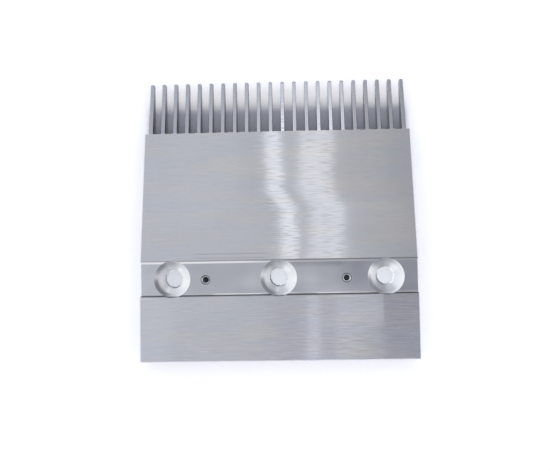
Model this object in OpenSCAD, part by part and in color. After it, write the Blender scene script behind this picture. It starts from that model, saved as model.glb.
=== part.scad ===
// Escalator comb plate: one landing segment whose teeth mesh with the grooves of the step treads.
// X runs across the plate, +Y points to the tooth tips and +Z is up.
// The origin is where the axis of the middle screw meets the seat plane.

/* [Teeth] */
// Number of teeth across the plate
tooth_count = 22; // [16:1:30]
// Distance from one tooth to the next, the same as the tread's groove spacing
tooth_pitch = 9.068; // [8:0.001:12]
// Thickness of a tooth at its root
tooth_w = 3.2; // [2.6:0.1:4]
// Thickness of a tooth at its tip
tooth_tip_w = 2.8; // [2.5:0.1:3.2]
// Reach of the teeth in front of the tread plate, seen from above
tooth_run = 40; // [28:1:55]
// Radius of a tooth's nose, seen from the side
tip_r = 2; // [1:0.1:2.6]
// Radius along the two top edges of a tooth
tooth_edge_r = 0.5; // [0.2:0.1:1]
// Height of the straight flank above the drafted flank
tooth_land = 2; // [1.2:0.1:2.5]
// Draft angle of the lower flanks
tooth_draft = 1; // [0:0.5:3]
// Length of the runner that carries a tooth on under the tread plate
runner_len = 24; // [14:1:36]
// Length of the slope at the end of a runner
runner_slope = 14; // [6:1:20]

/* [Tread plate] */
// Slope of the tread plate and of the tops of the teeth, in degrees
ramp_angle = 11; // [9:0.5:13]
// Length of the tread plate, seen from above
ramp_run = 97; // [80:1:120]
// Thickness of the tread plate
deck_t = 5.5; // [4:0.1:7]

/* [Screw channel] */
// Width of the channel
channel_w = 25.2; // [22:0.1:30]
// Depth of the channel below the rear land
rear_step = 5; // [3.5:0.1:7]
// Depth of the channel below the upper edge of the tread plate
front_step = 3; // [2:0.1:4]
// Radius in the two lower corners of the channel
channel_fillet_r = 1.8; // [0.8:0.1:1.9]
// Thickness of the channel floor
channel_floor_t = 7; // [5:0.1:8]

/* [Screw holes] */
// Distance from the side of the plate to the nearest screw
screw_edge = 22.55; // [20:0.05:30]
// Bore of the screw holes
screw_d = 13.5; // [8.5:0.1:14]
// Diameter of the countersinks
csk_d = 26.4; // [18:0.1:28]
// Included angle of the countersinks
csk_angle = 90; // [82:1:100]
// Distance of the screws behind the middle of the channel
screw_back = 0.3; // [0:0.1:1]
// Diameter of the bosses round the screws
boss_d = 30; // [24:1:32]

/* [Tapped holes] */
// Distance from the left screw in to the left tapped hole
tap_left_in = 24.2; // [20:0.1:28]
// Distance from the right screw in to the right tapped hole
tap_right_in = 28.2; // [20:0.1:30]
// Distance of the tapped holes behind the screws
tap_back = 0.7; // [0:0.1:2]
// Core diameter of the tapped holes
tap_d = 3.3; // [2.5:0.1:5]
// Diameter of the chamfered mouth of the tapped holes
tap_mouth_d = 6.4; // [5.6:0.1:8]

/* [Rear land] */
// Length of the rear land
rear_len = 46.5; // [35:0.5:60]
// Thickness of the rear land
rear_t = 6; // [4:0.1:8]
// Radius of the two rear corners, seen from above
corner_r = 1.2; // [0.5:0.1:3]

/* [Underside] */
// Height of the channel floor above the seat
floor_h = 13; // [12:0.1:18]
// Thickness of the rear rail and of the walls beside the channel
wall_t = 6; // [4:0.1:8]
// Thickness of the side walls
cheek_t = 6; // [4:0.1:7]
// Thickness of the ribs
rib_t = 4; // [3:0.1:5]
// How far the ribs stay above the seat
seat_relief = 2; // [0.5:0.1:3]
// Depth of the long ribs at their front end
rib_nose = 2; // [1:0.1:3]
// Depth of the short cross ribs
cross_depth = 4; // [2:0.1:4.5]
// Chamfer that breaks the upper outer edges
edge_break = 0.5; // [0.2:0.1:0.8]
// Chamfer that breaks the front edge of the tread plate between the teeth
gap_break = 0.3; // [0.1:0.1:0.5]

/* [Hidden] */
$fn = 96;
// Room that a cutting shape has beyond what it cuts
over = 1;

plate_w = tooth_count * tooth_pitch;
side_x = plate_w / 2;
screw_x = side_x - screw_edge;

// Places along the plate
rear_wall_y = -channel_w / 2 + screw_back;
front_wall_y = channel_w / 2 + screw_back;
rear_y = rear_wall_y - rear_len;
root_y = front_wall_y + ramp_run;
rib_end_y = root_y - runner_len;
front_seat_y = front_wall_y + wall_t;
rear_seat_y = rear_wall_y - wall_t;

// Heights above the seat
land_z = floor_h + rear_step;
lip_z = floor_h + front_step;
land_under_z = land_z - rear_t;
floor_under_z = floor_h - channel_floor_t;
csk_depth = (csk_d - screw_d) / 2 / tan(csk_angle / 2);
mouth_depth = (tap_mouth_d - tap_d) / 2;

// Top of the tread plate and of the teeth, and the underside of the tread plate, at a place y
function tread_z(y) = lip_z - (y - front_wall_y) * tan(ramp_angle);
function under_z(y) = tread_z(y) - deck_t / cos(ramp_angle);

// The nose is a circle that touches the sloping top and the level bottom of a tooth
nose_y = root_y + tooth_run - tip_r;
nose_z = tread_z(nose_y) - tip_r / cos(ramp_angle);
tooth_bottom_z = nose_z - tip_r;

// The long ribs stand on a whole number of pitches, in line with teeth
rib_count = 4;
rib_step = round((tooth_count - 2) / rib_count) * tooth_pitch;
function rib_x(i) = (i - (rib_count + 1) / 2) * rib_step;
function rib_under_z(y) = seat_relief + (y - front_seat_y) / (rib_end_y - front_seat_y)
    * (under_z(rib_end_y) - rib_nose - seat_relief);
cross_y = (front_seat_y + rib_end_y) / 2;

function tooth_x(i) = (i - (tooth_count + 1) / 2) * tooth_pitch;
function tooth_name(i) = str("tooth_", i < 10 ? "0" : "", i);

satin = "#b9bbc1";
milled = "#c6c8cd";
cast = "#a5a7ab";

// A side view in Y and Z, given its thickness across the plate from x0 to x1
module across(x0, x1) {
    translate([x0, 0, 0])
        rotate([90, 0, 90])
            linear_extrude(x1 - x0)
                children();
}

// A box from its lowest to its highest corner
module box(low, high) {
    translate(low)
        cube(high - low);
}

// Everything inside the plate's outline, seen from above, with its two round rear corners
module within_outline() {
    tall = land_z - tooth_bottom_z + 2 * over;
    intersection() {
        children();
        translate([0, 0, tooth_bottom_z - over])
            linear_extrude(tall)
                union() {
                    translate([-side_x, rear_y + corner_r])
                        square([plate_w, root_y - rear_y - corner_r]);
                    translate([-side_x + corner_r, rear_y])
                        square([plate_w - 2 * corner_r, corner_r]);
                    for (side = [-1, 1])
                        translate([side * (side_x - corner_r), rear_y + corner_r])
                            circle(corner_r);
                }
    }
}

// What the drill and the countersink take away at one screw
module screw_cut() {
    translate([0, 0, -over])
        cylinder(h = land_z, d = screw_d);
    translate([0, 0, floor_h - csk_depth])
        cylinder(h = csk_depth, d1 = screw_d, d2 = csk_d);
    translate([0, 0, floor_h])
        cylinder(h = rear_step + over, d = csk_d);
}

module all_screw_cuts() {
    for (place = [-1, 0, 1])
        translate([place * screw_x, 0, 0])
            screw_cut();
}

// What the tap drill and its chamfer take away
module tapped_cut() {
    translate([0, 0, floor_under_z - over])
        cylinder(h = channel_floor_t + 2 * over, d = tap_d);
    translate([0, 0, floor_h - mouth_depth])
        cylinder(h = mouth_depth, d1 = tap_d, d2 = tap_mouth_d);
}

// Two rods that break the upper side edges of a flat top, which starts at y = 0 and slopes down
module side_breaks(length, slope) {
    rod = edge_break * sqrt(2);
    rotate([-slope, 0, 0])
        for (side = [-1, 1])
            translate([side * side_x, length / 2, 0])
                rotate([0, 45, 0])
                    cube([rod, length, rod], center = true);
}

// What a cutter of radius r takes off an outer corner, set at the centre of the rounding
module corner_cut(r) {
    difference() {
        square(r + over);
        circle(r);
    }
}

// What breaks the front edge of the tread plate, beside each tooth and up to the sides of the plate
module gap_breaks() {
    for (i = [0 : tooth_count]) {
        left = i == 0 ? -side_x - over : tooth_x(i) + tooth_w / 2;
        right = i == tooth_count ? side_x + over : tooth_x(i + 1) - tooth_w / 2;
        across(left, right)
            polygon([
                [root_y - gap_break, tread_z(root_y - gap_break)],
                [root_y, tread_z(root_y) - gap_break],
                [root_y + over, tread_z(root_y) - gap_break],
                [root_y + over, tread_z(root_y) + over],
                [root_y - gap_break, tread_z(root_y) + over]
            ]);
    }
}

// Side view of the tread plate, with the front fillet of the channel at its upper end
module ramp_side() {
    fillet_y = front_wall_y - channel_fillet_r;
    fillet_z = floor_h + channel_fillet_r;
    difference() {
        polygon([
            [fillet_y, floor_h],
            [fillet_y, fillet_z],
            [front_wall_y, fillet_z],
            [front_wall_y, lip_z - edge_break],
            [front_wall_y + edge_break, tread_z(front_wall_y + edge_break)],
            [root_y, tread_z(root_y)],
            [root_y, under_z(root_y)],
            [front_wall_y, under_z(front_wall_y)],
            [front_wall_y, floor_h]
        ]);
        translate([fillet_y, fillet_z])
            circle(channel_fillet_r);
    }
}

// Sloping tread plate
module ramp_plate() {
    color(satin)
        difference() {
            across(-side_x, side_x)
                ramp_side();
            all_screw_cuts();
            translate([0, front_wall_y - over, tread_z(front_wall_y - over)])
                side_breaks((ramp_run + 2 * over) / cos(ramp_angle), ramp_angle);
            gap_breaks();
        }
}

// Floor of the channel, with the countersinks and the tapped holes
module screw_channel() {
    color(milled)
        difference() {
            box([-side_x, rear_wall_y, floor_under_z], [side_x, front_wall_y, floor_h]);
            all_screw_cuts();
            translate([-screw_x + tap_left_in, -tap_back, 0])
                tapped_cut();
            translate([screw_x - tap_right_in, -tap_back, 0])
                tapped_cut();
        }
}

// Side view of the rear land, with the rear fillet of the channel at its front
module rear_side() {
    fillet_y = rear_wall_y + channel_fillet_r;
    fillet_z = floor_h + channel_fillet_r;
    difference() {
        polygon([
            [rear_y, land_under_z],
            [rear_y, land_z - edge_break],
            [rear_y + edge_break, land_z],
            [rear_wall_y - edge_break, land_z],
            [rear_wall_y, land_z - edge_break],
            [rear_wall_y, fillet_z],
            [fillet_y, fillet_z],
            [fillet_y, floor_h],
            [rear_wall_y, floor_h],
            [rear_wall_y, land_under_z]
        ]);
        translate([fillet_y, fillet_z])
            circle(channel_fillet_r);
    }
}

// Flat land behind the channel
module rear_land() {
    color(satin)
        difference() {
            within_outline()
                across(-side_x, side_x)
                    rear_side();
            all_screw_cuts();
            translate([0, rear_y - over, land_z])
                side_breaks(rear_len + 2 * over, 0);
        }
}

// Boss round a screw, flat where it meets the two walls of the channel
module screw_boss(place) {
    color(cast)
        difference() {
            intersection() {
                translate([place * screw_x, 0, 0])
                    cylinder(h = floor_under_z, d = boss_d);
                box([-side_x, rear_wall_y, 0], [side_x, front_wall_y, floor_under_z]);
            }
            translate([place * screw_x, 0, 0])
                screw_cut();
        }
}

// Cross wall under the upper end of the tread plate
module channel_front_wall() {
    color(cast)
        across(-side_x + cheek_t, side_x - cheek_t)
            polygon([
                [front_wall_y, 0],
                [front_seat_y, 0],
                [front_seat_y, under_z(front_seat_y)],
                [front_wall_y, under_z(front_wall_y)]
            ]);
}

// Cross wall under the front of the rear land
module channel_rear_wall() {
    color(cast)
        box([-side_x + cheek_t, rear_seat_y, 0], [side_x - cheek_t, rear_wall_y, land_under_z]);
}

// Rail along the rear edge of the seat
module rear_rail() {
    color(cast)
        box([-side_x + cheek_t, rear_y, 0], [side_x - cheek_t, rear_y + wall_t, land_under_z]);
}

// Side wall, from the rear edge to the runners of the teeth
module cheek(side) {
    inner_x = side * (side_x - cheek_t);
    outer_x = side * side_x;
    color(cast)
        within_outline()
            across(min(inner_x, outer_x), max(inner_x, outer_x))
                polygon([
                    [rear_y, 0],
                    [front_seat_y, 0],
                    [rib_end_y, under_z(rib_end_y) - rib_nose],
                    [rib_end_y, under_z(rib_end_y)],
                    [front_wall_y, under_z(front_wall_y)],
                    [front_wall_y, floor_under_z],
                    [rear_wall_y, floor_under_z],
                    [rear_wall_y, land_under_z],
                    [rear_y, land_under_z]
                ]);
}

// Long rib under the tread plate
module ramp_rib(i) {
    color(cast)
        across(rib_x(i) - rib_t / 2, rib_x(i) + rib_t / 2)
            polygon([
                [front_seat_y, rib_under_z(front_seat_y)],
                [rib_end_y, rib_under_z(rib_end_y)],
                [rib_end_y, under_z(rib_end_y)],
                [front_seat_y, under_z(front_seat_y)]
            ]);
}

// Rib under the rear land
module rear_rib(i) {
    color(cast)
        box(
            [rib_x(i) - rib_t / 2, rear_y + wall_t, seat_relief],
            [rib_x(i) + rib_t / 2, rear_seat_y, land_under_z]
        );
}

// Short ribs between the long ribs and the side walls, halfway along the tread plate
module cross_ribs() {
    stops = concat(
        [-side_x + cheek_t - rib_t / 2],
        [for (i = [1 : rib_count]) rib_x(i)],
        [side_x - cheek_t + rib_t / 2]
    );
    color(cast)
        for (i = [0 : rib_count])
            across(stops[i] + rib_t / 2, stops[i + 1] - rib_t / 2)
                polygon([
                    [cross_y - rib_t / 2, under_z(cross_y - rib_t / 2)],
                    [cross_y - rib_t / 2, under_z(cross_y - rib_t / 2) - cross_depth],
                    [cross_y + rib_t / 2, under_z(cross_y + rib_t / 2) - cross_depth],
                    [cross_y + rib_t / 2, under_z(cross_y + rib_t / 2)]
                ]);
}

// What lies beyond the nose of a tooth, between its level bottom and its sloping top
module nose_cut() {
    reach = 2 * tip_r;
    translate([nose_y, nose_z])
        difference() {
            polygon([
                [0, 0],
                [0, -reach],
                [reach, -reach],
                [reach, reach],
                [reach * sin(ramp_angle), reach * cos(ramp_angle)]
            ]);
            circle(tip_r);
        }
}

// Side view of a tooth: level bottom, round nose, sloping top, and the runner behind the root
module tooth_side() {
    difference() {
        polygon([
            [root_y, tread_z(root_y)],
            [nose_y + tip_r, tread_z(nose_y + tip_r)],
            [nose_y + tip_r, tooth_bottom_z],
            [rib_end_y + runner_slope, tooth_bottom_z],
            [rib_end_y, rib_under_z(rib_end_y)],
            [rib_end_y, under_z(rib_end_y)],
            [root_y, under_z(root_y)]
        ]);
        nose_cut();
    }
}

// Cross-section of a tooth, with its top at y = 0
module tooth_section(depth) {
    foot_w = tooth_w - 2 * (depth - tooth_land) * tan(tooth_draft);
    difference() {
        polygon([
            [-tooth_w / 2, 0],
            [tooth_w / 2, 0],
            [tooth_w / 2, -tooth_land],
            [foot_w / 2, -depth],
            [-foot_w / 2, -depth],
            [-tooth_w / 2, -tooth_land]
        ]);
        for (side = [0, 1])
            mirror([side, 0])
                translate([tooth_w / 2 - tooth_edge_r, -tooth_edge_r])
                    corner_cut(tooth_edge_r);
    }
}

// Top view of a tooth: straight along the runner, tapered in front of the root, and a round tip
module tooth_plan() {
    round_y = root_y + tooth_run - tooth_tip_w / 2;
    union() {
        polygon([
            [-tooth_w / 2, rib_end_y - over],
            [tooth_w / 2, rib_end_y - over],
            [tooth_w / 2, root_y],
            [tooth_tip_w / 2, round_y],
            [-tooth_tip_w / 2, round_y],
            [-tooth_w / 2, root_y]
        ]);
        translate([0, round_y])
            circle(d = tooth_tip_w);
    }
}

// A tooth with its runner: what the side view, the drafted section and the top view have in common
module tooth(i) {
    depth = (tread_z(rib_end_y) - tooth_bottom_z) * cos(ramp_angle) + over;
    ahead = tooth_run / cos(ramp_angle) + over;
    behind = runner_len / cos(ramp_angle) + depth;
    color(satin)
        translate([tooth_x(i), 0, 0])
            intersection() {
                across(-tooth_w / 2 - over, tooth_w / 2 + over)
                    tooth_side();
                translate([0, root_y, tread_z(root_y)])
                    rotate([-ramp_angle, 0, 0])
                        translate([0, ahead, 0])
                            rotate([90, 0, 0])
                                linear_extrude(ahead + behind)
                                    tooth_section(depth);
                translate([0, 0, tooth_bottom_z - over])
                    linear_extrude(land_z - tooth_bottom_z)
                        tooth_plan();
            }
}

ramp_plate();
screw_channel();
rear_land();
screw_boss(-1);  // screw_boss_left
screw_boss(0);  // screw_boss_centre
screw_boss(1);  // screw_boss_right
channel_front_wall();
channel_rear_wall();
rear_rail();
cheek(-1);  // cheek_left
cheek(1);  // cheek_right
for (i = [1 : rib_count]) {
    ramp_rib(i);
    rear_rib(i);
}
cross_ribs();
for (i = [1 : tooth_count])
    tooth(i);
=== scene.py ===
import math

import bpy
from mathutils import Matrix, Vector

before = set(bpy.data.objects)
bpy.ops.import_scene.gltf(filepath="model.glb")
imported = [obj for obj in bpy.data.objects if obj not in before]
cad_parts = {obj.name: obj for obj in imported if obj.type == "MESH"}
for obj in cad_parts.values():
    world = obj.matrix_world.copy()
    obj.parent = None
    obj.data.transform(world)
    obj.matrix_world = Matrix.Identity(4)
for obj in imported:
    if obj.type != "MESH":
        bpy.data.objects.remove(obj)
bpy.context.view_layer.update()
print("comb plate: the CAD model is in")

mm = 0.001

# Limits are two values between which a mask goes from 0 to 1, in that order. Where there are four
# numbers, the last two are what it gives at either limit instead.
soft = {"interpolation_type": "SMOOTHSTEP"}     # a Map Range with this eases in and out of its limits


def linearColour(hexCode):
    # sRGB hex to the linear values that a socket takes
    parts = [int(hexCode[i:i + 2], 16) / 255 for i in (0, 2, 4)]
    return [c / 12.92 if c <= 0.04045 else ((c + 0.055) / 1.055) ** 2.4 for c in parts] + [1.0]


def addNode(tree, kind, sockets=(), out=0, **settings):
    # settings are the node's own; each socket, by number or name, takes a value, a hex colour or the
    # output of another node. It hands back one output. A Mix node has its mask at 0, two numbers at 2 and
    # 3, two vectors at 4 and 5 and two colours at 6 and 7, and gives those three kinds at 0, 1 and 2.
    node = tree.nodes.new("ShaderNode" + kind)
    for name, value in settings.items():
        setattr(node, name, value)
    for name, value in (sockets.items() if isinstance(sockets, dict) else enumerate(sockets)):
        if isinstance(value, bpy.types.NodeSocket):
            tree.links.new(value, node.inputs[name])
        else:
            node.inputs[name].default_value = linearColour(value) if isinstance(value, str) else value
    return node.outputs[out] if node.outputs else node


def newMaterial(name):
    material = bpy.data.materials.new(name)
    material.use_nodes = True
    material.node_tree.nodes.clear()
    return material, material.node_tree


def surfacePlace(tree):
    # place on the part in mm, and which way the surface faces
    coord = addNode(tree, "TexCoord").node
    inMm = addNode(tree, "VectorMath", {0: coord.outputs["Object"], "Scale": 1 / mm}, operation="SCALE")
    at = addNode(tree, "SeparateXYZ", (inMm,)).node.outputs
    facing = addNode(tree, "SeparateXYZ", (coord.outputs["Normal"],)).node.outputs
    return {
        "mm": inMm, "x": at[0], "y": at[1], "z": at[2],
        "normal": coord.outputs["Normal"], "nx": facing[0], "ny": facing[1], "nz": facing[2],
    }


noiseMiddle = 0.5               # what a noise gives on average


def grain(tree, place, sizeMm, detail=2.0, roughness=0.5):
    # noise whose features are so many mm long in X, Y and Z; 0 leaves that way out
    steps = [1 / s if s else 0.0 for s in sizeMm]
    scaled = addNode(tree, "VectorMath", (place["mm"], steps), operation="MULTIPLY")
    noise = {"Vector": scaled, "Scale": 1.0, "Detail": detail, "Roughness": roughness}
    return addNode(tree, "TexNoise", noise)


def between(tree, value, start, end, edge):
    # a mask that is 1 from start to end, with soft borders of the given width
    off = addNode(tree, "Math", (value, (start + end) / 2), operation="SUBTRACT")
    off = addNode(tree, "Math", (off,), operation="ABSOLUTE")
    half = (end - start) / 2
    return addNode(tree, "MapRange", (off, half + edge / 2, half - edge / 2), **soft)


def overlap(tree, *masks):
    # a mask that is 1 only where all of the others are
    shared = masks[0]
    for mask in masks[1:]:
        shared = addNode(tree, "Math", (shared, mask), operation="MULTIPLY")
    return shared


def layer(tree, mask, under, over):
    # a finish is a colour, a roughness and a height in mm; mask 1 shows the one on top
    colours = {0: mask, 6: under["colour"], 7: over["colour"]}
    return {
        "colour": addNode(tree, "Mix", colours, 2, data_type="RGBA"),
        "roughness": addNode(tree, "Mix", {0: mask, 2: under["roughness"], 3: over["roughness"]}),
        "height": addNode(tree, "Mix", {0: mask, 2: under["height"], 3: over["height"]}),
    }


def plainFinish(colour, roughness):
    return {"colour": colour, "roughness": roughness, "height": 0.0}


def twoToneFinish(tree, how, tone, gloss, height):
    # one noise goes from the dark to the light colour, one varies the gloss and one gives the relief
    shown = addNode(tree, "MapRange", (tone, *how["toneNoise"]), **soft)
    spread = how["roughnessSpread"]
    smoothest = how["roughness"] - spread / 2
    return {
        "colour": addNode(tree, "Mix", {0: shown, 6: how["dark"], 7: how["light"]}, 2, data_type="RGBA"),
        "roughness": addNode(tree, "Math", (gloss, spread, smoothest), operation="MULTIPLY_ADD"),
        "height": addNode(tree, "Math", (height, how["depthMm"]), operation="MULTIPLY"),
    }


# Belt brushing: an abrasive belt run from side to side leaves fine lines along X and short dashes, light
# and dark. Broad soft patches, cool and warm, and greyer clouds show where the belt pressed. The real
# lines are about 0.1 mm wide, and they are drawn 0.7 mm wide so that they show.
brushed = {
    "cool": "c9ccd4",
    "warm": "cfced1",
    "patchMm": (70.0, 12.0, 0.0),
    "patch": (0.3, 0.7, 0.0, 1.0),
    "grey": "b4b6bb",
    "cloudMm": (60.0, 38.0, 0.0),
    "cloud": (0.38, 0.62, 0.0, 0.12),
    "dashMm": (10.0, 0.7, 0.0),
    "darkDash": (0.34, 0.22, 0.0, 0.2),
    "bright": "e2e3e6",
    "lightDash": (0.69, 0.81, 0.0, 0.3),
    "lineMm": (60.0, 0.7, 0.0),
    "lightLine": (0.35, 0.75, 0.0, 0.08),
    "roughness": (0.5, 0.7, 0.115, 0.22),
    "dashShare": 0.6,           # of dashes against lines in the relief
    "depthMm": 0.003,
}


def brushedFinish(tree, place):
    line = grain(tree, place, brushed["lineMm"], detail=1.0)
    dash = grain(tree, place, brushed["dashMm"], detail=0.0)
    patch = grain(tree, place, brushed["patchMm"])
    cloud = grain(tree, place, brushed["cloudMm"], detail=1.0)
    pressed = addNode(tree, "MapRange", (patch, *brushed["patch"]), **soft)
    tone = addNode(tree, "Mix", {0: pressed, 6: brushed["cool"], 7: brushed["warm"]}, 2, data_type="RGBA")
    for noise, read in ((cloud, brushed["cloud"]), (dash, brushed["darkDash"])):
        greyer = addNode(tree, "MapRange", (noise, *read), **soft)
        tone = addNode(tree, "Mix", {0: greyer, 6: tone, 7: brushed["grey"]}, 2, data_type="RGBA")
    lightLine = addNode(tree, "MapRange", (line, *brushed["lightLine"]), **soft)
    lightDash = addNode(tree, "MapRange", (dash, *brushed["lightDash"]), **soft)
    lit = addNode(tree, "Math", (lightLine, lightDash), operation="MAXIMUM")
    tone = addNode(tree, "Mix", {0: lit, 6: tone, 7: brushed["bright"]}, 2, data_type="RGBA")
    relief = addNode(tree, "Mix", {0: brushed["dashShare"], 2: line, 3: dash})
    return {
        "colour": tone,
        "roughness": addNode(tree, "MapRange", (dash, *brushed["roughness"]), **soft),
        "height": addNode(tree, "Math", (relief, brushed["depthMm"]), operation="MULTIPLY"),
        "relief": relief,
    }


# Milling: an end mill leaves a smooth face with faint feed marks, about 0.2 mm apart and drawn 1.1 mm
# apart. The faces on the outside are milled to size.
milled = {
    "dark": "babcc3",
    "light": "cbcdd2",
    "patchMm": (43.0, 30.0, 20.0),
    "toneNoise": (0.35, 0.65),
    "feedMm": (1.1, 9.0, 9.0),
    "roughness": 0.12,
    "roughnessSpread": 0.04,
    "depthMm": 0.002,
    "sideFace": (0.6, 0.8),     # how far to either side a milled face looks
    "endFace": (0.9, 0.97),     # and how far to the front or the rear
}


def milledFinish(tree, place):
    feed = grain(tree, place, milled["feedMm"])
    return twoToneFinish(tree, milled, grain(tree, place, milled["patchMm"]), feed, feed)


def looksOut(tree, part, limits):
    # a mask of the faces that look far out either way, by one part of their normal
    either = addNode(tree, "Math", (part,), operation="ABSOLUTE")
    return addNode(tree, "MapRange", (either, *limits), **soft)


# Turning: the countersink tool leaves fine rings round each screw hole and the brightest metal on the
# part. The real rings are about 0.1 mm wide, and they are drawn 0.9 mm wide.
turned = {
    "dark": "f2f6fb",
    "light": "fafcff",
    "toneNoise": (0.3, 0.7),
    "ringMm": 0.9,
    "ringDetail": 3.0,
    "roughness": 0.19,
    "roughnessSpread": 0.04,
    "depthMm": 0.0006,
}


def turnedFinish(tree, radius):
    rings = addNode(tree, "Math", (radius, turned["ringMm"]), operation="DIVIDE")
    noise = {"W": rings, "Scale": 1.0, "Detail": turned["ringDetail"]}
    ring = addNode(tree, "TexNoise", noise, noise_dimensions="1D")
    return twoToneFinish(tree, turned, ring, ring, ring)


# Drilling: the drill leaves the bores duller than the countersinks. Their walls at left and rear are
# painted dark, a painted shade.
drilled = {
    # painted shade colour of the bore walls
    "shadedWall": "6c6e74",
    "unshadedWall": "c8cad0",
    "rearShare": 0.6,
    "rub": (-0.3, 0.4),
    "roughness": 0.35,
}


def drilledFinish(tree, place):
    facing = (place["ny"], drilled["rearShare"], place["nx"])
    facing = addNode(tree, "Math", facing, operation="MULTIPLY_ADD")
    # painted shade: the bore walls at left and rear are darkened
    rub = addNode(tree, "MapRange", (facing, *drilled["rub"]), **soft)
    tone = addNode(tree, "Mix", {0: rub, 6: drilled["unshadedWall"], 7: drilled["shadedWall"]}, 2, data_type="RGBA")
    return plainFinish(tone, drilled["roughness"])


screwX = 77.198                 # mm from one screw to the next


def fromAxis(tree, across, along):
    # radius from a hole's axis
    squares = addNode(tree, "Math", (across, across), operation="MULTIPLY")
    squares = addNode(tree, "Math", (along, along, squares), operation="MULTIPLY_ADD")
    return addNode(tree, "Math", (squares,), operation="SQRT")


def fromScrew(tree, place):
    # way to the right of the nearest screw's axis, and radius from it
    across = addNode(tree, "Math", (place["x"], screwX / 2, -screwX / 2), operation="WRAP")
    return across, fromAxis(tree, across, place["y"])


# Sand casting: the skin under the plate is grey and matt with a grain of about 0.6 mm, drawn at 1.1 mm.
cast = {
    "dark": "8f9194",
    "light": "adafb2",
    "grainMm": (1.1, 1.1, 1.1),
    "blotchMm": (18.0, 18.0, 18.0),
    "blotchShare": 0.5,
    "toneNoise": (0.35, 0.65),
    "roughness": 0.55,
    "roughnessSpread": 0.12,
    "depthMm": 0.10,
    "below": (-0.3, -0.5),      # how far down a cast face looks
}


def castFinish(tree, place):
    skin = grain(tree, place, cast["grainMm"], detail=3.0, roughness=0.6)
    blotch = grain(tree, place, cast["blotchMm"])
    mixed = addNode(tree, "Mix", {0: cast["blotchShare"], 2: skin, 3: blotch})
    return twoToneFinish(tree, cast, mixed, blotch, skin)


def castBelow(tree, place, finish):
    below = addNode(tree, "MapRange", (place["nz"], *cast["below"]), **soft)
    return layer(tree, below, finish, castFinish(tree, place))


dullRoughness = 0.45            # in corners that no tool polishes


def bareAluminium(finish, tree, anisotropic, tangent, lean=None):
    # metallic 1 and the default IOR, with the given finish; lean is added to the surface's normal
    normal = addNode(tree, "Bump", {"Strength": 1.0, "Distance": mm, "Height": finish["height"]})
    if lean is not None:
        tipped = addNode(tree, "VectorMath", (normal, lean), operation="ADD")
        normal = addNode(tree, "VectorMath", (tipped,), operation="NORMALIZE")
    shader = addNode(tree, "BsdfPrincipled", {
        "Metallic": 1.0, "Anisotropic": anisotropic, "Base Color": finish["colour"],
        "Roughness": finish["roughness"], "Normal": normal, "Tangent": tangent,
    })
    addNode(tree, "OutputMaterial", {"Surface": shader})


def downSlope(tree, place):
    # grooves run along X, so gloss spreads across them, down the slope; the end faces get a little of Y
    groove, littleY = (1.0, 0.0, 0.0), (0.0, 0.01, 0.0)
    slope = addNode(tree, "VectorMath", (place["normal"], groove), operation="CROSS_PRODUCT")
    return addNode(tree, "VectorMath", (slope, littleY), operation="ADD")


# Channel fillets: where the tread plate and the rear land come down to the channel floor. The front one
# is smoother and carries a painted highlight all along, brightest at left, the rear one in two stretches.
# Their normals are tipped up there, so that the whole curve shines at once. Where they turn steep they are
# painted dark, as painted shade.
fillets = {
    "channelY": (-12.45, 13.05),
    "edgeMm": 0.02,
    # painted highlight: colours of the front fillet, lightest at left
    "frontHighlightLeft": "f2f4f8",
    "frontHighlightRight": "c6c8ce",
    "middleX": (-30.0, 20.0),   # where left gives way to right
    "frontCurve": (-0.05, -0.2),
    "rearCurve": (0.05, 0.2),
    # painted highlight: two stretches of the rear fillet
    "rearHighlightStretches": (((-46.0, -11.0), "eef0f4"), ((29.0, 64.0), "dcdee2")),
    "stretchEndMm": 8.0,
    "roughness": 0.2,
    "lift": (0.22, 0.80, 0.0, 2.8),     # how much of +Z is added to a polished curve's normal, by its slope
    "liftEnd": (0.97, 0.85),
    "frontSteep": (-0.80, -0.95),
    "rearSteep": (0.55, 0.82),
    # painted shade: colours of the steep channel walls
    "steepShadeLeft": "a0a2a8",
    "steepShadeRight": "5e6066",
    "steepShadeRear": "74767c",
}


def filletHighlightAndShade(tree, place, finish, inChannel):
    # the finish with the fillets in it, and a mask of where they are polished
    toRight = addNode(tree, "MapRange", (place["x"], *fillets["middleX"]), **soft)
    # painted highlight on the front fillet and on two stretches of the rear one
    sides = {0: toRight, 6: fillets["frontHighlightLeft"], 7: fillets["frontHighlightRight"]}
    highlight = plainFinish(addNode(tree, "Mix", sides, 2, data_type="RGBA"), fillets["roughness"])
    curve = addNode(tree, "MapRange", (place["ny"], *fillets["frontCurve"]), **soft)
    finish = layer(tree, overlap(tree, inChannel, curve), finish, highlight)
    highlighted = addNode(tree, "Math", (place["ny"], 0.0), operation="LESS_THAN")
    curve = addNode(tree, "MapRange", (place["ny"], *fillets["rearCurve"]), **soft)
    for ends, colour in fillets["rearHighlightStretches"]:
        stretch = overlap(tree, inChannel, between(tree, place["x"], *ends, fillets["stretchEndMm"]))
        highlighted = addNode(tree, "Math", (highlighted, stretch), operation="MAXIMUM")
        highlight = plainFinish(colour, fillets["roughness"])
        finish = layer(tree, overlap(tree, stretch, curve), finish, highlight)
    # painted shade on the steep walls where they turn down to the floor
    sides = {0: toRight, 6: fillets["steepShadeLeft"], 7: fillets["steepShadeRight"]}
    steepShadeFront = addNode(tree, "Mix", sides, 2, data_type="RGBA")
    for side, colour in (("frontSteep", steepShadeFront), ("rearSteep", fillets["steepShadeRear"])):
        steep = addNode(tree, "MapRange", (place["ny"], *fillets[side]), **soft)
        finish = layer(tree, overlap(tree, inChannel, steep), finish, plainFinish(colour, dullRoughness))
    return finish, highlighted


def filletLift(tree, place, inChannel, highlighted):
    slope = addNode(tree, "Math", (place["ny"],), operation="ABSOLUTE")
    lift = addNode(tree, "MapRange", (slope, *fillets["lift"]))
    fades = addNode(tree, "MapRange", (slope, *fillets["liftEnd"]), **soft)
    return overlap(tree, lift, inChannel, highlighted, fades)
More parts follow.
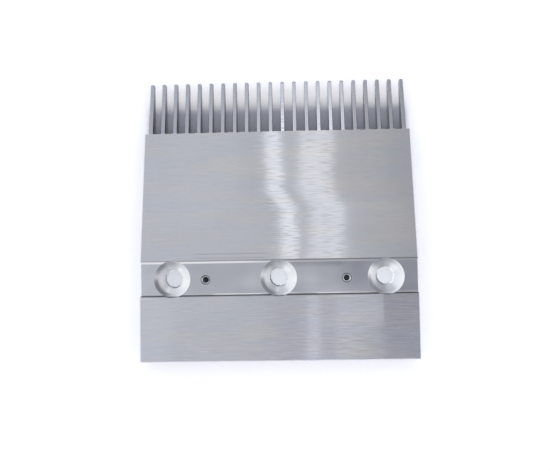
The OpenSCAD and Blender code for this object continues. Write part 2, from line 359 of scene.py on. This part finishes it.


# Rear land: near the right screw the brushing lines are painted bright, a painted glint, fading to the
# rear.
# A coarser belt scored the land, most at the right: scores about 0.2 mm wide, drawn 0.9 mm wide.
land = {
    "passX": (40.0, 74.3, 0.0, 0.30),   # it grows stronger to the right
    "passEndX": (75.1, 73.5),
    "passY": (-40.0, -26.0),
    # painted glint colour
    "glintLight": "f6f7fa",
    "streaks": (0.40, 0.60, 0.65, 1.35),
    "scoreMm": (13.0, 0.9, 0.0),
    "scoreX": (-60.0, 50.0, 0.05, 0.22),
    "scores": (((0.55, 0.72), "eef0f4"), ((0.45, 0.28), "94969c")),
}


def landScoresAndGlint(tree, place, finish, relief):
    onLand = addNode(tree, "Math", (place["y"], fillets["channelY"][0]), operation="LESS_THAN")
    amount = addNode(tree, "MapRange", (place["x"], *land["scoreX"]))
    score = grain(tree, place, land["scoreMm"], detail=1.0)
    for limits, colour in land["scores"]:
        mark = addNode(tree, "MapRange", (score, *limits), **soft)
        finish = layer(tree, overlap(tree, mark, amount, onLand), finish, {**finish, "colour": colour})
    # painted glint: brushing lines near the right screw are lightened
    bright = overlap(
        tree, onLand,
        addNode(tree, "MapRange", (place["x"], *land["passX"])),
        addNode(tree, "MapRange", (place["x"], *land["passEndX"]), **soft),
        addNode(tree, "MapRange", (place["y"], *land["passY"]), **soft),
        addNode(tree, "MapRange", (relief, *land["streaks"])),
    )
    return layer(tree, bright, finish, {**finish, "colour": land["glintLight"]})


# Rub marks: fine marks along X, two dark ones on the tread plate in front of the channel. The two bright
# ones on the lip of the rear land are a painted highlight along its edge.
rubs = {
    "halfMm": 0.45,
    "edgeMm": 0.5,
    "fadeMm": 10.0,
    "marks": (                  # where in Y, from and to in X, how strong, colour
        (14.9, (-60.0, -8.0), 0.20, "6c6e74"), (17.8, (-60.0, -8.0), 0.20, "6c6e74"),
        # painted highlight: the two bright marks on the rear lip
        (-13.6, (38.0, 64.0), 0.40, "f6f7fa"), (-13.6, (-110.0, -92.0), 0.30, "f6f7fa"),
    ),
}


def rubMarksAndLipHighlight(tree, place, finish):
    half = rubs["halfMm"]
    for y, ends, amount, colour in rubs["marks"]:
        alongX = between(tree, place["x"], *ends, rubs["fadeMm"])
        rub = overlap(tree, between(tree, place["y"], y - half, y + half, rubs["edgeMm"]), amount, alongX)
        finish = layer(tree, rub, finish, {**finish, "colour": colour})
    return finish


# Brushed cast aluminium of the tread plate, the rear land and the channel's fillets. Its brushing draws
# every light out into a band along Y; each belt pass leans a little, so the bands jog, and each line
# leans a little, so their edges are ragged.
tread = {
    "anisotropic": 1.0,
    "passY": 57.0,              # where one belt pass of the tread plate runs out into the next
    "passRun": 9.0,
    "farLean": 0.0135,
    "waveMm": (50.0, 14.0, 0.0),
    "waveLean": 0.005,
    "lineLean": 0.020,
}


def beltLean(tree, place, relief):
    # how far the normal leans to the side
    passStart, passEnd = tread["passY"] - tread["passRun"], tread["passY"] + tread["passRun"]
    lean = addNode(tree, "MapRange", (place["y"], passStart, passEnd, 0.0, tread["farLean"]), **soft)
    wave = grain(tree, place, tread["waveMm"], detail=0.0)
    for noise, amount in ((wave, tread["waveLean"]), (relief, tread["lineLean"])):
        off = addNode(tree, "Math", (noise, noiseMiddle), operation="SUBTRACT")
        lean = addNode(tree, "Math", (off, amount, lean), operation="MULTIPLY_ADD")
    return lean


def treadMaterial():
    material, tree = newMaterial("Brushed cast aluminium")
    place = surfacePlace(tree)
    brush = brushedFinish(tree, place)
    sides = looksOut(tree, place["nx"], milled["sideFace"])
    ends = looksOut(tree, place["ny"], milled["endFace"])
    cut = addNode(tree, "Math", (sides, ends), operation="MAXIMUM")
    finish = layer(tree, cut, brush, milledFinish(tree, place))
    finish = landScoresAndGlint(tree, place, finish, brush["relief"])
    finish = rubMarksAndLipHighlight(tree, place, finish)
    inChannel = between(tree, place["y"], *fillets["channelY"], fillets["edgeMm"])
    finish, highlighted = filletHighlightAndShade(tree, place, finish, inChannel)
    finish = castBelow(tree, place, finish)
    lift = filletLift(tree, place, inChannel, highlighted)
    lean = addNode(tree, "CombineXYZ", (beltLean(tree, place, brush["relief"]), 0.0, lift))
    bareAluminium(finish, tree, tread["anisotropic"], downSlope(tree, place), lean)
    return material


# Countersinks: turned cones with drilled bores. A worn tool cuts a little hollow, so each cone is flatter
# near its bore. Dull dark sectors are painted on the cones as painted shade and dark reflection, most at
# the left screw. Each mark lies toward a way from the axis, with limits for its angle and radius, and has a
# strength at left and right.
countersinks = {
    "coneR": (13.4, 13.2),
    "cone": (0.95, 0.85),       # how far up a face looks, from the channel floor to the cone
    "bore": (0.45, 0.3),
    "hollow": (8.5, 12.0, 1.25, 0.35),  # how much of +Z is added to the cone's normal, by its radius
    # painted shade: dark sectors on the cones, standing in for shade and dark reflection
    "paintedShadeMarks": (
        {"toward": (-0.80, -0.60), "near": (0.60, 0.93), "r": (9.6, 11.6),
         "amount": (0.66, 0.43), "colour": "5e6066"},
        {"toward": (-0.77, 0.64), "near": (0.80, 0.98), "r": (9.6, 11.6),
         "amount": (0.42, 0.0), "colour": "6a6c72"},
        {"toward": (-0.80, 0.60), "near": (-0.35, 0.60), "r": (8.6, 10.4),
         "amount": (0.14, 0.0), "colour": "84868c"},
        {"toward": (-0.20, -0.98), "near": (0.40, 0.90), "r": (12.4, 10.4),
         "amount": (0.12, 0.38), "colour": "84868c"},
        {"toward": (-0.10, 0.99), "near": (0.75, 0.97), "r": (11.4, 9.6),
         "amount": (0.26, 0.26), "colour": "84868c"},
    ),
}


# painted shade: darkens sectors of each cone
def paintedConeShade(tree, place, finish, cone, outward, radius):
    spoke = addNode(tree, "VectorMath", (outward,), operation="NORMALIZE")
    for mark in countersinks["paintedShadeMarks"]:
        toward = (*mark["toward"], 0.0)
        facing = addNode(tree, "VectorMath", (spoke, toward), "Value", operation="DOT_PRODUCT")
        leftToRight = (-screwX, screwX, *mark["amount"])
        shown = overlap(
            tree, cone,
            addNode(tree, "MapRange", (facing, *mark["near"]), **soft),
            addNode(tree, "MapRange", (radius, *mark["r"]), **soft),
            addNode(tree, "MapRange", (place["x"], *leftToRight)),
        )
        finish = layer(tree, shown, finish, plainFinish(mark["colour"], dullRoughness))
    return finish


# Tapped holes: a bright chamfered mouth with a dark rim, and the first turn of the thread painted near
# black, a painted shadow.
tapped = {
    "middleX": -2.0,
    "halfX": 50.998,
    "y": -0.7,
    "mouthR": (3.3, 3.1),
    "rimR": 3.2,
    "rimMm": (0.35, 0.1),
    "rim": "585a60",
    "threadR": (2.2, 1.9),
    # painted shadow colour inside the tapped holes
    "threadShadow": "030304",
}


def tappedHoles(tree, place, finish):
    fromMiddle = addNode(tree, "Math", (place["x"], tapped["middleX"]), operation="SUBTRACT")
    fromMiddle = addNode(tree, "Math", (fromMiddle,), operation="ABSOLUTE")
    across = addNode(tree, "Math", (fromMiddle, tapped["halfX"]), operation="SUBTRACT")
    along = addNode(tree, "Math", (place["y"], tapped["y"]), operation="SUBTRACT")
    radius = fromAxis(tree, across, along)
    mouth = addNode(tree, "MapRange", (radius, *tapped["mouthR"]), **soft)
    finish = layer(tree, mouth, finish, turnedFinish(tree, radius))
    fromRim = addNode(tree, "Math", (radius, tapped["rimR"]), operation="SUBTRACT")
    fromRim = addNode(tree, "Math", (fromRim,), operation="ABSOLUTE")
    rim = addNode(tree, "MapRange", (fromRim, *tapped["rimMm"]), **soft)
    finish = layer(tree, rim, finish, plainFinish(tapped["rim"], dullRoughness))
    # painted shadow in the core of each tapped hole
    threadShadow = addNode(tree, "MapRange", (radius, *tapped["threadR"]), **soft)
    return layer(tree, threadShadow, finish, plainFinish(tapped["threadShadow"], dullRoughness))


# Milled aluminium of the channel floor, which gives soft, even reflections. Along the front fillet, to the
# right of the middle, it is painted darker, a painted shade.
channel = {
    "anisotropic": 0.9,
    "dimX": (9.0, 46.0),
    "dimFadeMm": 10.0,
    "dimY": (6.8, 12.4, 0.0, 0.48),
    # painted shade colour along the front fillet
    "dim": "5e6066",
}


def channelMaterial():
    material, tree = newMaterial("Milled aluminium with turned countersinks")
    place = surfacePlace(tree)
    across, radius = fromScrew(tree, place)
    outward = addNode(tree, "CombineXYZ", (across, place["y"]))
    atScrew = addNode(tree, "MapRange", (radius, *countersinks["coneR"]), **soft)
    cone = overlap(tree, atScrew, addNode(tree, "MapRange", (place["nz"], *countersinks["cone"]), **soft))
    bore = overlap(tree, atScrew, addNode(tree, "MapRange", (place["nz"], *countersinks["bore"]), **soft))
    nearFront = addNode(tree, "MapRange", (place["y"], *channel["dimY"]))
    frontShade = overlap(tree, nearFront, between(tree, place["x"], *channel["dimX"], channel["dimFadeMm"]))
    finish = castBelow(tree, place, milledFinish(tree, place))
    # painted shade along the front fillet
    finish = layer(tree, frontShade, finish, plainFinish(channel["dim"], milled["roughness"]))
    finish = layer(tree, cone, finish, turnedFinish(tree, radius))
    finish = paintedConeShade(tree, place, finish, cone, outward, radius)
    finish = layer(tree, bore, finish, drilledFinish(tree, place))
    finish = tappedHoles(tree, place, finish)
    ringWay = addNode(tree, "VectorMath", (outward, (0.0, 0.0, 1.0)), operation="CROSS_PRODUCT")
    downCone = addNode(tree, "VectorMath", (place["normal"], ringWay), operation="CROSS_PRODUCT")
    downCone = addNode(tree, "VectorMath", (downCone,), operation="NORMALIZE")
    ways = {0: cone, 4: downSlope(tree, place), 5: downCone}
    way = addNode(tree, "Mix", ways, 1, data_type="VECTOR")
    coneAlone = addNode(tree, "Math", (cone, bore), operation="SUBTRACT")
    hollow = addNode(tree, "MapRange", (radius, *countersinks["hollow"]), **soft)
    lean = addNode(tree, "CombineXYZ", (0.0, 0.0, overlap(tree, coneAlone, hollow)))
    bareAluminium(finish, tree, channel["anisotropic"], way, lean)
    return material


# Brushed comb aluminium: the tops of the teeth are brushed with the tread, painted lighter between as a
# painted highlight and greyer at both ends of the comb as painted shade, and worn dull and pitted to the
# tips, with pits of about 0.3 mm drawn 0.9 mm wide. The flanks are dull and painted dark as shade, darkest
# at left and lightest at the tips.
comb = {
    "anisotropic": 1.0,
    "topFace": (0.80, 0.93),    # how far up a top face looks
    # painted highlight in the middle of the comb and painted shade at both ends
    "topHighlight": "e6ebf8",
    "topHighlightX": (-22.0, 52.0),
    "topHighlightFadeMm": 16.0,
    "topHighlightAmount": 0.45,
    "topGrey": "a8adba",
    "topGreyLeftX": (-5.0, -60.0, 0.1, 0.55),
    "topGreyRightX": (48.0, 75.0, 0.0, 0.5),
    # painted shade of the flanks, darkest at left and at the roots
    "flankShadeLeft": "3c3e44",
    "flankShadeRight": "5c5e64",
    "flankX": (0.0, 60.0),
    "flankShadeTip": "8b8d93",
    "wearY": (112.0, 146.0),    # from the roots to the tips
    "pitMm": (0.9, 0.9, 0.0),
    "pitNoise": (0.45, 0.7),
    "pits": 0.35,
    "wear": 0.15,
    "noseY": (147.5, 149.1),
    "nose": "d2d5de",
}


def toothTops(tree, place):
    brush = brushedFinish(tree, place)
    middleHighlight = between(tree, place["x"], *comb["topHighlightX"], comb["topHighlightFadeMm"])
    middleHighlight = overlap(tree, middleHighlight, comb["topHighlightAmount"])
    greyLeft = addNode(tree, "MapRange", (place["x"], *comb["topGreyLeftX"]), **soft)
    greyRight = addNode(tree, "MapRange", (place["x"], *comb["topGreyRightX"]), **soft)
    greyer = addNode(tree, "Math", (greyLeft, greyRight), operation="MAXIMUM")
    # painted highlight in the middle, painted shade at both ends
    for mask, colour in ((middleHighlight, comb["topHighlight"]), (greyer, comb["topGrey"])):
        brush = layer(tree, mask, brush, {**brush, "colour": colour})
    return brush


def combMaterial():
    material, tree = newMaterial("Brushed comb aluminium with dull flanks")
    place = surfacePlace(tree)
    toRight = addNode(tree, "MapRange", (place["x"], *comb["flankX"]), **soft)
    toTip = addNode(tree, "MapRange", (place["y"], *comb["wearY"]), **soft)
    # painted shade on the flanks
    sides = {0: toRight, 6: comb["flankShadeLeft"], 7: comb["flankShadeRight"]}
    flank = addNode(tree, "Mix", sides, 2, data_type="RGBA")
    flank = addNode(tree, "Mix", {0: toTip, 6: flank, 7: comb["flankShadeTip"]}, 2, data_type="RGBA")
    top = addNode(tree, "MapRange", (place["nz"], *comb["topFace"]), **soft)
    finish = layer(tree, top, plainFinish(flank, dullRoughness), toothTops(tree, place))
    pits = addNode(tree, "MapRange", (grain(tree, place, comb["pitMm"]), *comb["pitNoise"]), **soft)
    pits = addNode(tree, "Math", (pits, comb["pits"], comb["wear"]), operation="MULTIPLY_ADD")
    nose = addNode(tree, "MapRange", (place["y"], *comb["noseY"]), **soft)
    worn = addNode(tree, "Math", (overlap(tree, toTip, pits), nose), operation="MAXIMUM")
    finish = layer(tree, worn, finish, plainFinish(comb["nose"], dullRoughness))
    bareAluminium(finish, tree, comb["anisotropic"], downSlope(tree, place))
    return material


# Sand cast aluminium of everything below: grey and matt, with the seat at z = 0 and the outer sides
# milled flat and bright, and the bores drilled.
under = {
    "seatMm": 0.15,
    "seatFace": (-0.8, -0.95),
    "sideX": 99.35,
    "boreR": (7.0, 6.85),
}


def undersideMaterial():
    material, tree = newMaterial("Sand cast aluminium with a milled seat")
    place = surfacePlace(tree)
    radius = fromScrew(tree, place)[1]
    low = addNode(tree, "Math", (place["z"], under["seatMm"]), operation="LESS_THAN")
    seat = overlap(tree, low, addNode(tree, "MapRange", (place["nz"], *under["seatFace"]), **soft))
    side = looksOut(tree, place["nx"], milled["sideFace"])
    outer = addNode(tree, "Math", (place["x"],), operation="ABSOLUTE")
    outer = addNode(tree, "Math", (outer, under["sideX"]), operation="GREATER_THAN")
    cut = addNode(tree, "Math", (side, outer, seat), operation="MULTIPLY_ADD", use_clamp=True)
    bore = addNode(tree, "MapRange", (radius, *under["boreR"]), **soft)
    finish = layer(tree, cut, castFinish(tree, place), milledFinish(tree, place))
    finish = layer(tree, bore, finish, drilledFinish(tree, place))
    bareAluminium(finish, tree, 0.0, downSlope(tree, place))
    return material


treadLook = treadMaterial()
channelLook = channelMaterial()
combLook = combMaterial()
undersideLook = undersideMaterial()
teeth = [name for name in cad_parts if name.startswith("tooth_")]
looks = {name: combLook for name in teeth}
looks.update(ramp_plate=treadLook, rear_land=treadLook, screw_channel=channelLook)
for name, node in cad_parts.items():
    for slot in node.material_slots:
        slot.material = looks.get(name, undersideLook)
print("comb plate: the metal is finished")

# Matt white table top: coated board, which stays pale and plain and takes a soft shadow. The part rests
# on the heels of its teeth and on its rear bottom edge, so in its own frame the table leans 5 degrees.
table = {
    "colour": "ffffff",
    "speckle": "fcfcfd",
    "speckleMm": (3.0, 3.0, 3.0),
    "restY": -58.8,             # mm, as the next three
    "heelY": 99.9,
    "heelZ": -14.28,
    "gap": 0.05,
    "sizeM": 6.0,
}


def makeTable():
    material, tree = newMaterial("Matt white table top")
    speckle = grain(tree, surfacePlace(tree), table["speckleMm"])
    tone = addNode(tree, "Mix", {0: speckle, 6: table["colour"], 7: table["speckle"]}, 2, data_type="RGBA")
    above = addNode(tree, "BsdfDiffuse", {"Color": tone})
    below = addNode(tree, "BsdfTransparent")        # from below, the table doesn't hide the part
    fromBelow = addNode(tree, "NewGeometry").node.outputs["Backfacing"]
    addNode(tree, "OutputMaterial", {"Surface": addNode(tree, "MixShader", (fromBelow, above, below))})
    half = table["sizeM"] / 2
    corners = [(-half, -half, 0), (half, -half, 0), (half, half, 0), (-half, half, 0)]
    mesh = bpy.data.meshes.new("table_top")
    mesh.from_pydata(corners, [], [(0, 1, 2, 3)])
    mesh.materials.append(material)
    top = bpy.data.objects.new("table_top", mesh)
    bpy.context.scene.collection.objects.link(top)
    top.location = (0.0, table["restY"] * mm, -table["gap"] * mm)
    top.rotation_euler.x = math.atan2(table["heelZ"], table["heelY"] - table["restY"])
    return top


tableTop = makeTable()

# Tent: white cloth all round, seen in the metal. Overhead it is darkest a little to the right of the
# middle, where it opens for the camera. Its walls are bright at left and right, and grey beyond the teeth
# and behind the part. Matt surfaces get an even fill instead of it.
tent = {
    "reach": 0.8,
    "overhead": (                 # from left to right within the reach: part of the way, colour
        (0.05, "fbfcfd"), (0.344, "e4e6eb"), (0.419, "e2e4e8"), (0.462, "dddee0"), (0.50, "d9dadd"),
        (0.537, "e6e7e9"), (0.556, "dcdcde"), (0.581, "d3d3d4"), (0.606, "c9c9cb"), (0.656, "c3c3c5"),
        (0.78, "cccccf"), (0.94, "e4e5e8"),
    ),
    "walls": (                    # once round from the right, by way of the teeth: part of a turn, colour
        (0.0, "eeeff1"), (0.04, "b4b6ba"), (0.15, "a4a6aa"), (0.21, "b0b2b6"), (0.27, "c4c6ca"),
        (0.36, "f0f1f4"), (0.50, "ffffff"), (0.64, "eeeff2"), (0.73, "a8aaae"), (0.81, "9c9ea2"),
        (0.88, "a4a6aa"), (0.93, "f8f9fa"), (0.97, "ffffff"), (1.0, "eeeff1"),
    ),
    "wallTop": (0.50, 0.70),      # height where the walls give way to the overhead part
    "wallRise": 0.20,             # the left wall stands higher
    "rear": (0.15, -0.12, 1.0, 0.95),   # the light over the tread and over the rear land
    "sheets": (                   # round sheets of other cloth overhead: from and to in X and Y, colour
        {"x": (0.055, 0.285), "y": (-0.075, 0.095), "colour": "a9acb4"},
        {"x": (-0.145, -0.025), "y": (-0.07, 0.03), "colour": "ebecef"},
        {"x": (-0.65, 0.02), "y": (-0.60, -0.27), "colour": "ffffff"},
        {"x": (-0.050, 0.075), "y": (-0.21, -0.06), "colour": "d4d4e0"},
        {"x": (0.115, 0.300), "y": (-0.25, -0.06), "colour": "c7c9d3"},
        {"x": (-0.300, -0.180), "y": (-0.20, 0.0), "colour": "edf0f7"},
        {"x": (-0.165, -0.045), "y": (0.47, 0.60), "colour": "e9ebee"},
        {"x": (0.080, 0.170), "y": (0.47, 0.60), "colour": "d7d7d8"},
    ),
    "sheetEdge": (1.15, 0.85),
    "backdrop": "ffffff",
    "fill": (0.15, 0.5, 0.0, 0.95),     # by height, so that little of it comes in under the plate
    "fillColour": "e4e9fb",
}


def clothColour(tree, way):
    # the cloth in each direction: one colour ramp for overhead, one for the walls, and then the sheets
    turn = addNode(tree, "Math", (way[1], way[0]), operation="ARCTAN2")
    turn = addNode(tree, "Math", (turn, 2 * math.pi), operation="DIVIDE")
    turn = addNode(tree, "Math", (turn, 1.0, 0.0), operation="WRAP")
    across = addNode(tree, "MapRange", (way[0], -tent["reach"], tent["reach"]))
    cloth = {}
    for part, value in (("overhead", across), ("walls", turn)):
        cloth[part] = addNode(tree, "ValToRGB", (value,))
        stops = cloth[part].node.color_ramp.elements
        while len(stops) < len(tent[part]):
            stops.new(1.0)
        for stop, (where, shade) in zip(stops, tent[part]):
            stop.position = where
            stop.color = linearColour(shade)
    toLeft = addNode(tree, "Math", (way[0], 0.0), operation="MINIMUM")
    height = addNode(tree, "Math", (toLeft, tent["wallRise"], way[2]), operation="MULTIPLY_ADD")
    up = addNode(tree, "MapRange", (height, *tent["wallTop"]), **soft)
    colour = addNode(tree, "Mix", {0: up, 6: cloth["walls"], 7: cloth["overhead"]}, 2, data_type="RGBA")
    for sheet in tent["sheets"]:
        sideways = addNode(tree, "MapRange", (way[0], *sheet["x"], -1.0, 1.0), clamp=False)
        forward = addNode(tree, "MapRange", (way[1], *sheet["y"], -1.0, 1.0), clamp=False)
        inside = addNode(tree, "MapRange", (fromAxis(tree, sideways, forward), *tent["sheetEdge"]), **soft)
        colour = addNode(tree, "Mix", {0: inside, 6: colour, 7: sheet["colour"]}, 2, data_type="RGBA")
    return colour


def makeTent():
    world = bpy.data.worlds.new("tent")
    bpy.context.scene.world = world
    world.use_nodes = True
    tree = world.node_tree
    tree.nodes.clear()
    way = addNode(tree, "SeparateXYZ", (addNode(tree, "TexCoord"),)).node.outputs
    level = addNode(tree, "MapRange", (way[1], *tent["rear"]), **soft)
    seen = addNode(tree, "Background", (clothColour(tree, way), level))
    level = addNode(tree, "MapRange", (way[2], *tent["fill"]), **soft)
    fill = addNode(tree, "Background", (tent["fillColour"], level))
    ray = addNode(tree, "LightPath").node.outputs
    inMetal = addNode(tree, "Math", (ray["Is Glossy Ray"], ray["Is Transmission Ray"]), operation="MAXIMUM")
    # straight from the metal, not by way of the table
    direct = addNode(tree, "Math", (ray["Diffuse Depth"], 0.5), operation="LESS_THAN")
    light = addNode(tree, "MixShader", (overlap(tree, inMetal, direct), fill, seen))
    backdrop = addNode(tree, "Background", (tent["backdrop"], 1.0))
    shown = addNode(tree, "MixShader", (ray["Is Camera Ray"], light, backdrop))
    addNode(tree, "OutputWorld", {"Surface": shown})


def makeLamp(name, kind, at, colour, power, gloss):
    light = bpy.data.lights.new(name, kind)
    light.color = linearColour(colour)[:3]
    light.energy = power
    holder = bpy.data.objects.new(name, light)
    bpy.context.scene.collection.objects.link(holder)
    holder.location = at
    holder.visible_glossy = gloss
    return light, holder


def noShadowOf(holder, name, blockers):
    # the lamp shines through these objects
    group = bpy.data.collections.new(name)
    for blocker in blockers:
        group.objects.link(blocker)
    holder.light_linking.blocker_collection = group
    for row in group.collection_objects:
        row.light_linking.link_state = "EXCLUDE"


# Sun: a soft lamp from the rear, for the table. So wide a light would blur away the shadows of the thin
# teeth, and they cast none in it.
sun = {"at": (0.0, -1.0, 1.0), "tiltDegrees": 58, "angleDegrees": 12, "power": 2.85, "colour": "fffaf2"}


def makeSun():
    light, holder = makeLamp("sun", "SUN", sun["at"], sun["colour"], sun["power"], False)
    light.angle = math.radians(sun["angleDegrees"])
    holder.rotation_euler.x = math.radians(sun["tiltDegrees"])
    noShadowOf(holder, "comb_teeth", [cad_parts[name] for name in teeth])


# Panels: bright strips above the part, in metres, which the brushed metal draws out into soft bands.
panels = {
    "panel_a": {"at": (-0.0065, 0.77, 1.2), "size": (0.046, 0.70), "turn": 1.4,
                "radiance": 0.64, "colour": "fbfdff"},
    "panel_b": {"at": (0.1116, 0.77, 1.2), "size": (0.098, 0.70), "turn": -3.6,
                "radiance": 0.37, "colour": "fcfdff"},
    "panel_c": {"at": (0.056, -0.21, 1.2), "size": (0.028, 0.28), "turn": 0.0,
                "radiance": 0.33, "colour": "f2f4ff"},
    "panel_d": {"at": (0.171, -0.130, 1.2), "size": (0.116, 0.14), "turn": 0.0,
                "radiance": 0.25, "colour": "f4f6ff"},
}


def makePanel(name, panel):
    watts = panel["radiance"] * math.pi * panel["size"][0] * panel["size"][1]
    light, holder = makeLamp(name, "AREA", panel["at"], panel["colour"], watts, True)
    light.shape = "RECTANGLE"
    light.size, light.size_y = panel["size"]
    holder.rotation_euler.z = math.radians(panel["turn"])
    return light, holder


# Low lamp: a plain soft light from below, which reaches only the underside.
lowLamp = {"at": (0.0, 0.045, -0.8), "size": (1.0, 1.0), "turn": 0.0, "radiance": 1.0, "colour": "f4f6ff"}


def makeLowLamp():
    light, holder = makePanel("low_lamp", lowLamp)
    light.cycles.max_bounces = 0                    # straight to the eye, with none of it back on the table
    holder.rotation_euler.x = math.pi
    holder.visible_camera = False
    noShadowOf(holder, "table", [tableTop])         # it shines through the table, as the view does


# Hole lamps: a narrow spot down each screw hole lights the table that shows through it. In metres.
holeLamps = {
    "height": 0.6,
    "behind": 0.045,
    "toLeft": (-0.07, 0.03, 0.11),      # at the left, centre and right hole
    "power": (7.25, 8.5, 9.0),
    "spreadDegrees": 2.7,
    "softEdge": 0.15,
    "radius": 0.007,
    "colour": "f4f9fb",
}


def makeHoleLamps():
    for i, name in enumerate(("lamp_left", "lamp_centre", "lamp_right")):
        hole = Vector(((i - 1) * screwX * mm, 0.0, 0.0))
        way = Vector((-holeLamps["toLeft"][i], -holeLamps["behind"], holeLamps["height"]))
        power = holeLamps["power"][i]
        light, holder = makeLamp(name, "SPOT", hole + way, holeLamps["colour"], power, False)
        light.spot_size = math.radians(holeLamps["spreadDegrees"])
        light.spot_blend = holeLamps["softEdge"]
        light.shadow_soft_size = holeLamps["radius"]
        light.cycles.max_bounces = 1                # it doesn't spread under the plate
        holder.rotation_euler = (-way).to_track_quat("-Z", "Y").to_euler()


makeTent()
makeSun()
for name, panel in panels.items():
    makePanel(name, panel)
makeLowLamp()
makeHoleLamps()
print("comb plate: table and light are set")

# Camera: the photograph's place and lens, from a fit of the plate's edges, holes and teeth.
view = {
    "atMm": (11.22, 8.93, 486.18),
    "turnDegrees": (2.582, 1.664, -0.969),
    "lens": 42.88,
    "sensor": 36.0,
    "nearM": 0.01,
}


def makeCamera():
    lensData = bpy.data.cameras.new("camera")
    lensData.lens = view["lens"]
    lensData.sensor_width = view["sensor"]
    lensData.clip_start = view["nearM"]
    camera = bpy.data.objects.new("camera", lensData)
    bpy.context.scene.collection.objects.link(camera)
    camera.location = [c * mm for c in view["atMm"]]
    camera.rotation_euler = [math.radians(a) for a in view["turnDegrees"]]
    bpy.context.scene.camera = camera


makeCamera()
bpy.context.scene.view_settings.view_transform = "Standard"

print("comb plate: done")
